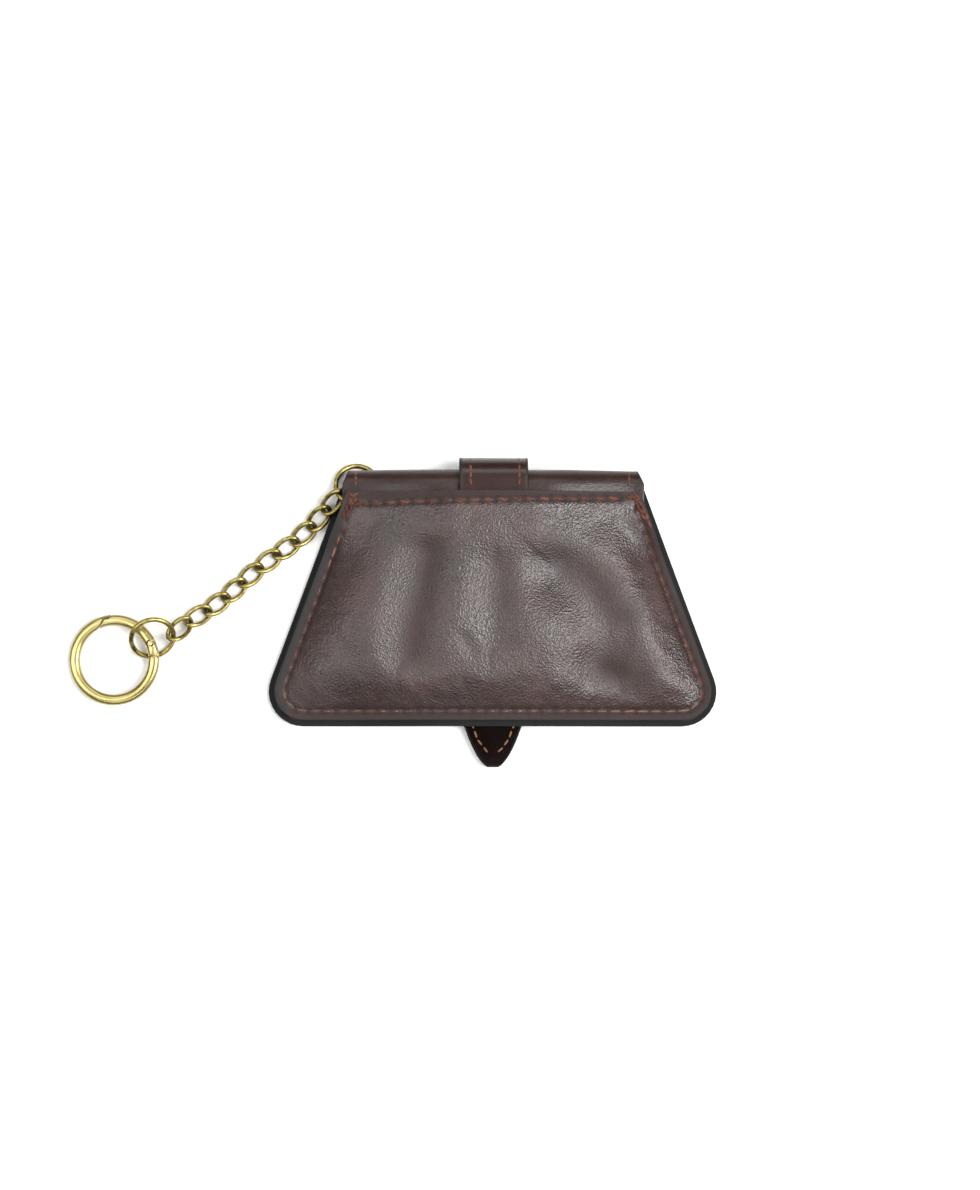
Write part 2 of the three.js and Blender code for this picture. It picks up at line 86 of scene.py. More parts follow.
# m and W: a strong light from the right puts the folds' other walls in shade, weak ones stand round the rest
lights = [
    {"name": "lightRight", "place": (0.82, -0.05, 1.24), "size": (0.6, 1.1), "power": 29.5},
    {"name": "lightBack", "place": (-0.1, 0.85, 1.3), "size": (1.3, 0.42), "power": 7},
    {"name": "lightFront", "place": (-0.1, -0.85, 1.3), "size": (1.3, 0.42), "power": 6},
    {"name": "lightLeft", "place": (-0.85, 0.0, 1.2), "size": (0.42, 1.0), "power": 9},
]
roomLight = 0.14


def softLight(name, place, size, power):
    lamp = bpy.data.lights.new(name, "AREA")
    lamp.shape = "RECTANGLE"
    lamp.size, lamp.size_y = size
    lamp.energy = power
    light = bpy.data.objects.new(name, lamp)
    light.location = place
    light.rotation_mode = "QUATERNION"
    light.rotation_quaternion = (Vector((0, 0, 0)) - Vector(place)).to_track_quat("-Z", "Y")
    scene.collection.objects.link(light)


setCamera()
for light in lights:
    softLight(**light)
world = bpy.data.worlds.new("studio")
world.use_nodes = True
world.node_tree.nodes["Background"].inputs["Color"].default_value = (1, 1, 1, 1)
world.node_tree.nodes["Background"].inputs["Strength"].default_value = roomLight
scene.world = world
scene.view_settings.view_transform = "Standard"
print("camera and lights set")

# Materials


def hexColour(text):
    parts = [int(text[i:i + 2], 16) / 255 for i in (1, 3, 5)]
    linear = [p / 12.92 if p <= 0.04045 else ((p + 0.055) / 1.055) ** 2.4 for p in parts]
    return (*linear, 1)


def addNode(material, kind, values=None, links=None):
    node = material.node_tree.nodes.new(kind)
    for key, value in (values or {}).items():
        if isinstance(key, str) and hasattr(node, key):
            setattr(node, key, value)
        else:
            node.inputs[key].default_value = value
    for key, source in (links or {}).items():
        material.node_tree.links.new(source, node.inputs[key])
    return node


def newMaterial(name, values):
    material = bpy.data.materials.new(name)
    material.use_nodes = True
    shader = material.node_tree.nodes["Principled BSDF"]
    for key, value in values.items():
        shader.inputs[key].default_value = value
    place = addNode(material, "ShaderNodeTexCoord").outputs["Object"]
    return material, shader, place


def feed(material, shader, sources):
    for key, source in sources.items():
        material.node_tree.links.new(source, shader.inputs[key])


def ramp(material, source, stops):
    node = addNode(material, "ShaderNodeValToRGB", links={"Fac": source})
    steps = node.color_ramp.elements
    while len(steps) < len(stops):
        steps.new(0.5)
    for step, (position, colour) in zip(steps, stops):
        step.position = position
        step.color = hexColour(colour) if isinstance(colour, str) else (colour, colour, colour, 1)
    return node.outputs["Color"]


def perMm(size):
    return 1000 / size  # a texture's scale from the size of its grain in mm


def cloud(material, place, size, detail, roughness=0.5, output="Fac"):
    return addNode(
        material, "ShaderNodeTexNoise",
        {"Scale": perMm(size), "Detail": detail, "Roughness": roughness}, {"Vector": place},
    ).outputs[output]


def attribute(material, name):
    return addNode(material, "ShaderNodeAttribute", {"attribute_name": name}).outputs["Fac"]


# a Mix node has its share at 0, values at 2 and 3 and colours at 6 and 7
def tint(material, base, share, colour):
    return addNode(
        material, "ShaderNodeMix", {"data_type": "RGBA", 7: hexColour(colour)}, {0: share, 6: base},
    ).outputs[2]


def shadeBy(material, base, shade, share):
    return addNode(
        material, "ShaderNodeMix",
        {"data_type": "RGBA", "blend_type": "MULTIPLY", 0: share}, {6: base, 7: shade},
    ).outputs[2]


def towards(material, base, share, value):
    return addNode(material, "ShaderNodeMix", {3: value}, {0: share, 2: base}).outputs[0]


def swing(material, source, low, high):
    return addNode(
        material, "ShaderNodeMapRange",
        {"From Min": 0.3, "From Max": 0.7, "To Min": low, "To Max": high}, {"Value": source},
    ).outputs["Result"]


def bump(material, height, high, strength, under=None):
    # high in mm; the strength is a number or comes from a node
    values, links = {"Distance": high * mm}, {"Height": height}
    if isinstance(strength, float):
        values["Strength"] = strength
    else:
        links["Strength"] = strength
    if under:
        links["Normal"] = under
    return addNode(material, "ShaderNodeBump", values, links).outputs["Normal"]


# what the leathers share, with sizes and heights in mm
hide = {
    "mottle": {"size": 14, "detail": 5, "roughness": 0.55},
    "fine": {"size": 1.1, "detail": 5, "roughness": 0.7},
    "speckle": [(0.3, 0.78), (0.7, 1.12)], "speckleShare": 0.8,
    "smoother": 0.07, "rougher": 0.08,
    "dullRoughness": 0.92, "paintRoughness": 0.8,
    "grainLeft": 0.2,  # under paint and where the hide is pressed
    "pebbleBlend": 0.6,
    "waver": {"size": 5, "detail": 3}, "waverReach": 3.5,
    "creaseStretch": 0.42, "creaseLine": [(0.0, 0.0), (0.13, 1.0)],
    "creasedPlaces": [(0.5, 0.0), (0.75, 0.6)],
    "pebbleHigh": 0.16, "fineHigh": 0.05, "creaseHigh": 0.07,
}


def leather(name, look):
    material, shader, place = newMaterial(name, {"IOR": 1.5, "Specular IOR Level": look["shine"]})
    mottle = cloud(material, place, **hide["mottle"])
    fine = cloud(material, place, **hide["fine"])
    paintedShade, edge, pressed = (attribute(material, key) for key in ("paintedShade", "edge", "pressed"))

    body = ramp(material, mottle, [(0.3, look["dark"]), (0.5, look["middle"]), (0.72, look["light"])])
    body = shadeBy(material, body, ramp(material, fine, hide["speckle"]), hide["speckleShare"])
    # painted shade: the back panel's folds, hollows and seam holes are tinted darker, and its margin dark
    body = tint(material, body, paintedShade, look["paintedShade"])
    body = tint(material, body, edge, look["edgePaint"])

    # dull where the shade is painted and on the margin, glossier where it is pressed smooth
    rough = swing(material, mottle, look["roughness"] - hide["smoother"], look["roughness"] + hide["rougher"])
    rough = towards(material, rough, paintedShade, hide["dullRoughness"])
    rough = towards(material, rough, pressed, look["pressedRoughness"])
    rough = towards(material, rough, edge, hide["paintRoughness"])
    flatter = addNode(
        material, "ShaderNodeMath", {"operation": "ADD", "use_clamp": True}, {0: pressed, 1: edge},
    ).outputs["Value"]
    standing = addNode(
        material, "ShaderNodeMapRange", {"To Min": 1, "To Max": hide["grainLeft"]}, {"Value": flatter},
    ).outputs["Result"]

    # pebbled grain, then creases that run through it in places
    pebbles = addNode(
        material, "ShaderNodeTexVoronoi",
        {"feature": "SMOOTH_F1", "Scale": perMm(look["grain"]), "Smoothness": hide["pebbleBlend"]},
        {"Vector": place},
    ).outputs["Distance"]
    waver = cloud(material, place, **hide["waver"], output="Color")
    shifted = addNode(
        material, "ShaderNodeVectorMath",
        {"operation": "MULTIPLY_ADD", 1: (hide["waverReach"] * mm,) * 3}, {0: waver, 2: place},
    ).outputs["Vector"]
    stretched = addNode(
        material, "ShaderNodeMapping",
        {"Rotation": (0, 0, math.radians(look["creaseTurn"])), "Scale": (1, hide["creaseStretch"], 1)},
        {"Vector": shifted},
    ).outputs["Vector"]
    lines = addNode(
        material, "ShaderNodeTexVoronoi",
        {"feature": "DISTANCE_TO_EDGE", "Scale": perMm(look["crease"])}, {"Vector": stretched},
    ).outputs["Distance"]
    lines = ramp(material, lines, hide["creaseLine"])
    creased = ramp(material, mottle, hide["creasedPlaces"])
    relief = bump(material, pebbles, hide["pebbleHigh"] * look["relief"], standing)
    relief = bump(material, fine, hide["fineHigh"] * look["relief"], standing, relief)
    relief = bump(material, lines, hide["creaseHigh"] * look["relief"], creased, relief)
    feed(material, shader, {"Base Color": body, "Roughness": rough, "Normal": relief})
    return material


metal = {
    "smoother": 0.06, "rougher": 0.1, "hollowRoughness": 0.6,
    "scratches": {"size": 0.5, "detail": 4}, "scratchHigh": 0.03, "scratchStrength": 0.3,
}


def brass(name, look):
    material, shader, place = newMaterial(name, {"Metallic": 1})
    patch = cloud(material, place, look["patch"], 4)
    tone = ramp(material, patch, [(0.3, look["dark"]), (0.55, look["middle"]), (0.75, look["light"])])
    # patina where the links and the ring's parts meet, and painted shade where the brass lies close to the
    # floor and the leather
    hollow = addNode(
        material, "ShaderNodeAmbientOcclusion",
        {"samples": 8, "only_local": False, "Distance": look["recess"] * mm},
    ).outputs["AO"]
    shade = ramp(material, hollow, [(0.25, 1.0), (look["clean"], 0.0)])
    tone = tint(material, tone, shade, look["patinaAndShade"])
    low, high = look["roughness"] - metal["smoother"], look["roughness"] + metal["rougher"]
    rough = swing(material, patch, low, high)
    rough = towards(material, rough, shade, metal["hollowRoughness"])
    scratches = cloud(material, place, **metal["scratches"])
    relief = bump(material, scratches, metal["scratchHigh"], metal["scratchStrength"])
    feed(material, shader, {"Base Color": tone, "Roughness": rough, "Normal": relief})
    return material


# full-grain cowhide, drum-dyed dark brown and waxed: a grey bloom where it faces the light
waxedBrownLeather = leather("waxedBrownLeather", {
    # painted shade: one red-brown tint below darkens the back panel's folds, hollows, seam holes and margin
    "dark": "#22110d", "middle": "#2c1713", "light": "#38211b", "paintedShade": "#240d08", "edgePaint": "#0d0e0e",
    "roughness": 0.4, "pressedRoughness": 0.25, "shine": 0.7,
    "grain": 0.5, "crease": 2.4, "creaseTurn": 35, "relief": 1.05,
})
# the same hide pressed smooth on the spine and the strap: an even, darker gloss
smoothBrownLeather = leather("smoothBrownLeather", {
    "dark": "#221310", "middle": "#2b1a16", "light": "#35211d", "paintedShade": "#140b0a", "edgePaint": "#0d0e0e",
    "roughness": 0.38, "pressedRoughness": 0.28, "shine": 0.36,
    "grain": 0.6, "crease": 3.2, "creaseTurn": 80, "relief": 0.3,
})
# lining calf, glazed nearly black: only its highlights show
glazedDarkLeather = leather("glazedDarkLeather", {
    "dark": "#090403", "middle": "#0d0605", "light": "#140907", "paintedShade": "#090504", "edgePaint": "#171413",
    "roughness": 0.19, "pressedRoughness": 0.14, "shine": 0.1,
    "grain": 0.5, "crease": 2.6, "creaseTurn": 10, "relief": 0.12,
})
# drawn brass wire, dipped antique and rubbed bright on top: patina where the links meet and painted shade
# where they lie on the floor
antiqueBrass = brass("antiqueBrass", {
    "dark": "#85763f", "middle": "#a89858", "light": "#cdc088", "patinaAndShade": "#33290f",
    "roughness": 0.3, "recess": 2.4, "clean": 0.85, "patch": 1.4,
})
# cast and tumbled brass of the ring: pale and satin, with patina by the rivet and painted shade where it lies
# on the floor
polishedBrass = brass("polishedBrass", {
    "dark": "#a2945c", "middle": "#b1a36b", "light": "#c4b783", "patinaAndShade": "#5c4d24",
    "roughness": 0.29, "recess": 0.6, "clean": 0.6, "patch": 9,
})

thread = {
    "surface": {"Roughness": 0.62, "Sheen Weight": 0.08, "IOR": 1.5, "Specular IOR Level": 0.2},
    "fibre": {"size": 0.35, "detail": 3, "roughness": 0.7},
    "broad": {"size": 9, "detail": 2},
    "fibreShade": [(0.3, 0.65), (0.7, 1.15)], "fibreShare": 0.9, "fibreHigh": 0.08, "fibreStrength": 0.6,
}


def threadMaterial(name, colours):
    material, shader, place = newMaterial(name, thread["surface"])
    fibre = cloud(material, place, **thread["fibre"])
    tone = ramp(material, cloud(material, place, **thread["broad"]), list(zip((0.35, 0.65), colours)))
    tone = shadeBy(material, tone, ramp(material, fibre, thread["fibreShade"]), thread["fibreShare"])
    relief = bump(material, fibre, thread["fibreHigh"], thread["fibreStrength"])
    feed(material, shader, {"Base Color": tone, "Normal": relief})
    return material


# bonded polyester thread, waxed: light rust where it lies open, darker where it is pulled in and rubbed
rustThread = threadMaterial("rustThread", ["#5e3b2d", "#8d6450"])
darkThread = threadMaterial("darkThread", ["#4d2b20", "#6c4233"])
paleThread = threadMaterial("paleThread", ["#5e3d2a", "#8f6a4d"])
print("materials made")

# Sizes of the bag in mm, as its solids have them

bag = {
    "gap": 0.3, "flapLeather": 1.8, "panelLeather": 1.4, "strapLeather": 1.3,
    "spineY": 34.9, "bottomY": -35.5, "spineHalf": 39.8, "bottomHalf": 65.9,
    "corner": 9.6, "inset": 1.7,
    "bend": 4.45, "spineDrop": 4.2, "crown": 13.2, "liftRun": 26,
    "backTop": 28.7, "frontTop": 22.6, "flapTuck": 5.5,
    "flange": 3.0, "quickRise": 10, "slowRise": 30, "quickShare": 0.3, "tuckEase": 0.8, "topBlend": 13,
    "strapHalf": 9.35, "strapTip": -46.7, "strapTuck": 7.2, "tongue": 15.9, "tipHalf": 1.5,
    "liningEnd": 25, "tuckStart": 30, "ease": 4.5, "overStrap": (0.8, 10),
}
slope = (bag["bottomHalf"] - bag["spineHalf"]) / (bag["spineY"] - bag["bottomY"])
stretch = math.hypot(1, slope)
strapStack = 2 * bag["strapLeather"] + 2 * bag["gap"]
spineHeight = strapStack + 2 * bag["bend"]
panelStack = bag["flapLeather"] + bag["gap"]
marginStack = panelStack + bag["panelLeather"] + bag["gap"]


def clamp(value, low=0.0, high=1.0):
    return max(low, min(high, value))


def mix(a, b, share):
    return a + (b - a) * share


def smoothStep(value, low, high):
    share = clamp((value - low) / (high - low))
    return share * share * (3 - 2 * share)


def sideAt(y):
    return bag["bottomHalf"] - slope * (y - bag["bottomY"])


def halfWidthAt(y, inset):
    centre = bag["bottomY"] + bag["corner"]
    radius = bag["corner"] - inset
    if y >= centre + radius * slope / stretch:
        return sideAt(y) - inset * stretch
    middle = sideAt(centre) - bag["corner"] * stretch
    return middle + math.sqrt(max(radius ** 2 - (y - centre) ** 2, 0))


def alongY(share, inset, topY, cornerShare=0.16):
    radius = bag["corner"] - inset
    height = radius * (1 + slope / stretch)
    start = bag["bottomY"] + inset
    if share <= cornerShare:
        return start + height * (1 - math.cos(share / cornerShare * math.pi / 2))
    return mix(start + height, topY, (share - cornerShare) / (1 - cornerShare))


def liftAt(x):
    level = bag["strapHalf"] + bag["ease"]
    return strapStack * (1 - smoothStep(abs(x), level, level + bag["liftRun"]))


def spineTop(x):
    level = bag["strapHalf"] + bag["ease"]
    return spineHeight - bag["spineDrop"] * smoothStep(abs(x), level, bag["spineHalf"])


def newPiece(name, bm, material, stands=(), body="satchel"):
    mesh = bpy.data.meshes.new(name)
    bm.to_mesh(mesh)
    bm.free()
    piece = bpy.data.objects.new(name, mesh)
    scene.collection.objects.link(piece)
    mesh.materials.append(material)
    mesh.shade_smooth()
    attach(piece, body)
    if stands:
        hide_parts(*stands)
    return piece


def sheetMesh(columns, rows, place):
    # a flat grid laid over the form: place takes shares from 0 to 1 across and along it
    bm = bmesh.new()
    bmesh.ops.create_grid(bm, x_segments=columns, y_segments=rows, size=0.5)
    for v in bm.verts:
        v.co = Vector(place(v.co.x + 0.5, v.co.y + 0.5)) * mm
    return bm


edging = {"segments": 3, "angle": math.radians(55)}


def thicken(piece, thickness, rounding, side=-1):
    # side -1 grows the wall under the grid's face, 1 over it
    wall = piece.modifiers.new("leather", "SOLIDIFY")
    wall.thickness = thickness * mm
    wall.offset = side
    wall.use_even_offset = False
    edge = piece.modifiers.new("edge", "BEVEL")
    edge.width = rounding * mm
    edge.segments = edging["segments"]
    edge.limit_method = "ANGLE"
    edge.angle_limit = edging["angle"]


def paint(piece, name, valueAt):
    attribute = piece.data.attributes.new(name, "FLOAT", "POINT")
    for v, item in zip(piece.data.vertices, attribute.data):
        item.value = clamp(valueAt(v.co / mm, v.normal))


def settle(piece):
    # the modifiers' result becomes the mesh
    bpy.context.view_layer.update()
    done = bpy.data.meshes.new_from_object(piece.evaluated_get(bpy.context.evaluated_depsgraph_get()))
    piece.modifiers.clear()
    piece.data = done


# Back panel

backPanel = {
    "columns": 128, "rows": 76,
    "seamInset": 2.4,  # mm from the panel's edge to the seam
    "sideSeamTop": 24.6,
    "topSeam": ((-37.9, 25.3), (-20, 25.8), (10, 26.4), (37.2, 27.0)),
    "pitch": 3.75,
    "wall": 0.35,  # mm, rounding of the cut edge
}

# the photo's folds and hollows: a line in mm, how far it spreads to its left and right, and how deep it is
folds = [
    {"line": [(-19.5, 12), (-21, 6), (-23.5, -5.4), (-24.5, -15)], "left": 8, "right": 6.6, "depth": 3},
    {"line": [(0.5, 6), (0.2, 0), (0, -11)], "left": 7, "right": 5.4, "depth": 1.5},
    {"line": [(18.5, 6), (25, 0), (30, -8), (31.5, -13)], "left": 9.6, "right": 8.6, "depth": 3.7},
    {"line": [(28, -21.5), (34, -22), (37, -25)], "left": 6, "right": 7, "depth": 3.6},
    {"line": [(-11.6, 23.5), (-10.9, 21)], "left": 1.8, "right": 1.5, "depth": 0.4},
    {"line": [(9, 24), (9.4, 21.5)], "left": 1.8, "right": 1.5, "depth": 0.35},
    {"line": [(-8.4, -11), (-6, -14.5)], "left": 2.2, "right": 1.5, "depth": 0.35},
    {"line": [(-41, -15), (-36, -24)], "left": 5, "right": 5, "depth": 0.5},
]


def distanceTo(line, x, y):
    best = (1e9, 1)
    for (x1, y1), (x2, y2) in zip(line, line[1:]):
        dx, dy = x2 - x1, y2 - y1
        share = clamp(((x - x1) * dx + (y - y1) * dy) / (dx * dx + dy * dy))
        px, py = x - x1 - dx * share, y - y1 - dy * share
        side = 1 if dx * py - dy * px > 0 else -1  # 1 lies left of the way the line runs
        best = min(best, (math.hypot(px, py), side))
    return best


def foldAt(x, y):
    deep = 0
    for fold in folds:
        far, side = distanceTo(fold["line"], x, y)
        # the lines run down the photo, so their left lies to the right of the bag
        spread = fold["right"] if side > 0 else fold["left"]
        deep += fold["depth"] * math.exp(-(far / spread) ** 2)
    return deep


def fullness(distance):
    slow, quick = (
        math.sin(clamp((distance - bag["flange"]) / bag[run]) * math.pi / 2)
        for run in ("slowRise", "quickRise")
    )
    return mix(slow, quick, bag["quickShare"])


def backHeight(x, y):
    fromSide = (halfWidthAt(y, bag["inset"]) - abs(x)) / stretch
    full = fullness(fromSide) * fullness(y - bag["bottomY"] - bag["inset"])
    margin = liftAt(x) + marginStack
    stuffed = mix(margin, bag["crown"], full) - foldAt(x, y) * full
    near, far = (bag["strapHalf"] + past for past in bag["overStrap"])
    overStrap = 1 - smoothStep(abs(x), near, far)
    topEdge = spineTop(x) + bag["gap"] + (bag["strapLeather"] + bag["gap"]) * overStrap
    levelY = bag["backTop"] - bag["flapTuck"] - bag["tuckEase"]
    return mix(stuffed, topEdge, smoothStep(y, levelY - bag["topBlend"], levelY))


def backPlace(u, v):
    y = alongY(v, bag["inset"], bag["backTop"])
    x = (2 * u - 1) * halfWidthAt(y, bag["inset"])
    return x, y, backHeight(x, y) + bag["panelLeather"]


def edgeDistance(x, y, inset, topY):
    # mm in from the panel's outline
    side = (sideAt(y) - inset * stretch - abs(x)) / stretch
    bottom = y - bag["bottomY"] - inset
    centreY = bag["bottomY"] + bag["corner"]
    centreX = sideAt(centreY) - bag["corner"] * stretch
    if abs(x) > centreX and y < centreY:
        return bag["corner"] - inset - math.hypot(abs(x) - centreX, y - centreY)
    return min(side, bottom, topY - y)


relax = {
    "scale": 10, "frames": 14,
    "share": 0.3, "cap": 0.3,  # how much of each move is kept, and its limit in mm
    "pressure": 1.2, "slack": -0.012, "quality": 6, "mass": 0.5,
    "stretching": 30, "shearing": 20, "bending": 6,
    "pinned": (3.2, 7),  # mm in from the edge where the pinning lets go
}


def relaxLeather(piece, pinned):
    # a short cloth run at ten times the size: the hide slackens and finds its own small swells
    start = [v.co.copy() for v in piece.data.vertices]
    for v in piece.data.vertices:
        v.co *= relax["scale"]
    group = piece.vertex_groups.new(name="sewn")
    for i, weight in enumerate(pinned):
        group.add([i], weight, "REPLACE")
    cloth = piece.modifiers.new("cloth", "CLOTH")
    cloth.settings.quality = relax["quality"]
    cloth.settings.mass = relax["mass"]
    cloth.settings.tension_stiffness = relax["stretching"]
    cloth.settings.compression_stiffness = relax["stretching"]
    cloth.settings.shear_stiffness = relax["shearing"]
    cloth.settings.bending_stiffness = relax["bending"]
    cloth.settings.effector_weights.gravity = 0
    cloth.settings.use_pressure = True
    cloth.settings.uniform_pressure_force = relax["pressure"]
    cloth.settings.shrink_min = relax["slack"]
    cloth.settings.vertex_group_mass = "sewn"
    cloth.point_cache.frame_start = 1
    cloth.point_cache.frame_end = relax["frames"]
    for step in range(1, relax["frames"] + 1):
        scene.frame_set(step)
    settle(piece)
    scene.frame_set(1)
    for v, before in zip(piece.data.vertices, start):
        move = (v.co / relax["scale"] - before) * relax["share"]
        if move.length > relax["cap"] * mm:
            move *= relax["cap"] * mm / move.length
        v.co = before + move
    piece.vertex_groups.clear()


def seamLine(points, pitch):
    # evenly spaced holes along a line of points
    holes, left = [], 0.0
    for a, b in zip(points, points[1:]):
        a, b = Vector(a), Vector(b)
        length = (b - a).length
        while left <= length:
            holes.append(a.lerp(b, left / length))
            left += pitch
        left -= length
    return holes


def outlinePoints(inset, topY):
    # down the left side, along the bottom and up the right side
    right = []
    for i in range(81):
        y = alongY(i / 80, inset, topY)
        right.append((halfWidthAt(y, inset), y))
    return [(-x, y) for x, y in reversed(right)] + right


seamInset = bag["inset"] + backPanel["seamInset"]
roundSeam = seamLine(outlinePoints(seamInset, backPanel["sideSeamTop"]), backPanel["pitch"])
topSeam = seamLine(backPanel["topSeam"], backPanel["pitch"] * 1.02)


seam = {"groove": 0.5, "grooveWidth": 0.9, "hole": 0.34, "holeWidth": 0.7}  # mm


def seamDepth(x, y, holes):
    # how far the thread pulls the leather in
    near = min(((x - a.x) ** 2 + (y - a.y) ** 2, i) for i, a in enumerate(holes))[1]
    far = distanceTo([(h.x, h.y) for h in holes[max(near - 1, 0):near + 2]], x, y)[0]
    hole = math.hypot(x - holes[near].x, y - holes[near].y)
    groove = seam["groove"] * math.exp(-(far / seam["grooveWidth"]) ** 2)
    return groove + seam["hole"] * math.exp(-(hole / seam["holeWidth"]) ** 2)


def pressedAt(x, y):
    return 0.15 + 0.12 * noise.noise(Vector((x * 0.07, y * 0.07, 2.2)))


def panelEdge(x, y):
    # the paint laps over the left side's edge more than over the other edges
    inside = edgeDistance(x, y, bag["inset"], bag["backTop"])
    onLeft = x < 0 and y < 23 and y - bag["bottomY"] > 4
    reach = 1.5 if onLeft else 0.5 if y < 24 else 0.2
    waver = 0.2 * noise.noise(Vector((x * 0.5, y * 0.5, 6.6)))
    return 1 - smoothStep(inside + waver, reach - 0.35, reach)


# painted shade: where the hide is dark in the photo, along the folds' walls and in the hollows, it is painted
# darker and made dull: a line in mm, how far it spreads and how much
paintedShadeAreas = [
    {"line": [(17, 12), (29, 4), (35.5, -5)], "spread": 5, "amount": 0.55},
    {"line": [(32, -18.5), (39, -22.5)], "spread": 5, "amount": 0.9},
    {"line": [(-16.5, 12), (-17.3, 8), (-20.3, -5.4), (-21.5, -15)], "spread": 4.6, "amount": 0.45},
    {"line": [(2.5, 10), (3, -2)], "spread": 3.6, "amount": 0.35},
    {"line": [(-56, -25), (-50, -29)], "spread": 5, "amount": 0.6},
    {"line": [(39.5, 20), (42, 15)], "spread": 2.6, "amount": 0.5},
    {"line": [(-7.5, -11), (-5, -15)], "spread": 1.8, "amount": 0.35},
    {"line": [(-30, -31), (30, -31)], "spread": 2.6, "amount": 0.3},
]


def paintedShadeAt(x, y):
    # painted shade in the folds and hollows and darker still in the seam holes; the margin outside the seam
    # is painted dark and made matte
    areaShade = sum(
        area["amount"] * math.exp(-(distanceTo(area["line"], x, y)[0] / area["spread"]) ** 2)
        for area in paintedShadeAreas
    )
    areaShade *= 1 + 0.35 * noise.noise(Vector((x * 0.16, y * 0.16, 4.4)))
    inside = edgeDistance(x, y, bag["inset"], bag["backTop"])
    if inside > 6:
        return areaShade
    holes = min(math.hypot(x - hole.x, y - hole.y) for hole in roundSeam + topSeam)
    margin = 1 - smoothStep(inside, 1.9, 3.1)
    return max(areaShade, 0.95 * margin, 1.2 * math.exp(-(holes / 0.8) ** 2))


def makeBackPanel():
    bm = sheetMesh(backPanel["columns"], backPanel["rows"], backPlace)
    piece = newPiece("backPanel", bm, waxedBrownLeather, ["back_panel"])
    pinned = []
    for v in piece.data.vertices:
        x, y = v.co.x / mm, v.co.y / mm
        inside = edgeDistance(x, y, bag["inset"], bag["backTop"])
        pinned.append(1 - smoothStep(inside, *relax["pinned"]))
    relaxLeather(piece, pinned)
    finer = piece.modifiers.new("finer", "SUBSURF")
    finer.levels = finer.render_levels = 1
    finer.boundary_smooth = "PRESERVE_CORNERS"
    settle(piece)
    for v in piece.data.vertices:
        x, y = v.co.x / mm, v.co.y / mm
        inside = edgeDistance(x, y, bag["inset"], bag["backTop"])
        press = 0
        if inside < 5.5:
            press = seamDepth(x, y, roundSeam)
        if y > 22:
            press = max(press, seamDepth(x, y, topSeam))
        # puckers that fan in from the seam, the hide's slow unevenness and the margin rolled down at its edge
        pucker = 0.16 * noise.noise(Vector((x * 0.36, y * 0.36, 3.1))) * smoothStep(inside, 2.6, 5)
        pucker *= (1 - smoothStep(inside, 8, 16)) * (1 - smoothStep(y, 12, 20))
        swell = 0.2 * noise.noise(Vector((x * 0.1, y * 0.1, 8.4))) * smoothStep(inside, 3, 8)
        roll = 0.15 * (1 - smoothStep(min(inside, 2.3), -0.6, 2.3)) if y < 24 else 0
        v.co.z += (pucker + swell - press - roll) * mm
    piece.data.update()
    paint(piece, "edge", lambda p, n: panelEdge(p.x, p.y))
    # painted shade for the folds, hollows and seam holes, and a dark matte margin
    paint(piece, "paintedShade", lambda p, n: paintedShadeAt(p.x, p.y))
    paint(piece, "pressed", lambda p, n: pressedAt(p.x, p.y))
    thicken(piece, bag["panelLeather"], backPanel["wall"])
    return piece


backPiece = makeBackPanel()
print("back panel made")

# Front panel, flap and spine


def frontPlace(u, v):
    y = alongY(v, bag["inset"], bag["frontTop"])
    x = (2 * u - 1) * halfWidthAt(y, bag["inset"])
    return x, y, liftAt(x) + panelStack + bag["panelLeather"]


frontPanel = {"columns": 90, "rows": 46, "wall": 0.3, "paint": (0.1, 0.5)}
frontPiece = newPiece(
    "frontPanel", sheetMesh(frontPanel["columns"], frontPanel["rows"], frontPlace),
    smoothBrownLeather, ["front_panel"])
paint(frontPiece, "edge", lambda p, n: 1 - smoothStep(
    edgeDistance(p.x, p.y, bag["inset"], bag["frontTop"]), *frontPanel["paint"]))
thicken(frontPiece, bag["panelLeather"], frontPanel["wall"])

flap = {
    "columns": 110, "frontRows": 62, "bendRows": 16, "tuckRows": 5,
    "paint": 1.9, "spinePaint": 0.5, "wall": 0.55, "sag": 0.12,
}
flapRows = flap["frontRows"] + flap["bendRows"] + flap["tuckRows"]


def flapPlace(u, v):
    # the outer face: up the front, round the spine and down the tuck
    row = v * flapRows
    bendRow = row - flap["frontRows"]
    tuckRow = bendRow - flap["bendRows"]
    endY = bag["spineY"] - bag["bend"]
    if bendRow <= 0:
        evenY = alongY(row / flap["frontRows"], 0, endY)
        x = (2 * u - 1) * halfWidthAt(evenY, 0)
        bend = (spineTop(x) - liftAt(x)) / 2
        share = (evenY - bag["bottomY"]) / (endY - bag["bottomY"])
        return x, evenY - (bend - bag["bend"]) * share ** 4, liftAt(x)
    turn = mix(-math.pi / 2, math.pi / 2, clamp(bendRow / flap["bendRows"]))
    outlineY = bag["spineY"] - bag["bend"] * (1 - math.cos(turn))
    x = (2 * u - 1) * halfWidthAt(outlineY, 0)
    bend = (spineTop(x) - liftAt(x)) / 2
    if tuckRow <= 0:
        sag = flap["sag"] * noise.noise(Vector((x * 0.09, turn, 5.5)))
        return (
            x,
            bag["spineY"] - bend + (bend + sag) * math.cos(turn),
            spineTop(x) - bend + (bend + sag * 0.5) * math.sin(turn),
        )
    y = mix(bag["spineY"] - bend, bag["backTop"] - bag["flapTuck"], tuckRow / flap["tuckRows"])
    return x, y, spineTop(x)


flapPiece = newPiece(
    "flap", sheetMesh(flap["columns"], flapRows, flapPlace), smoothBrownLeather, ["flap"])


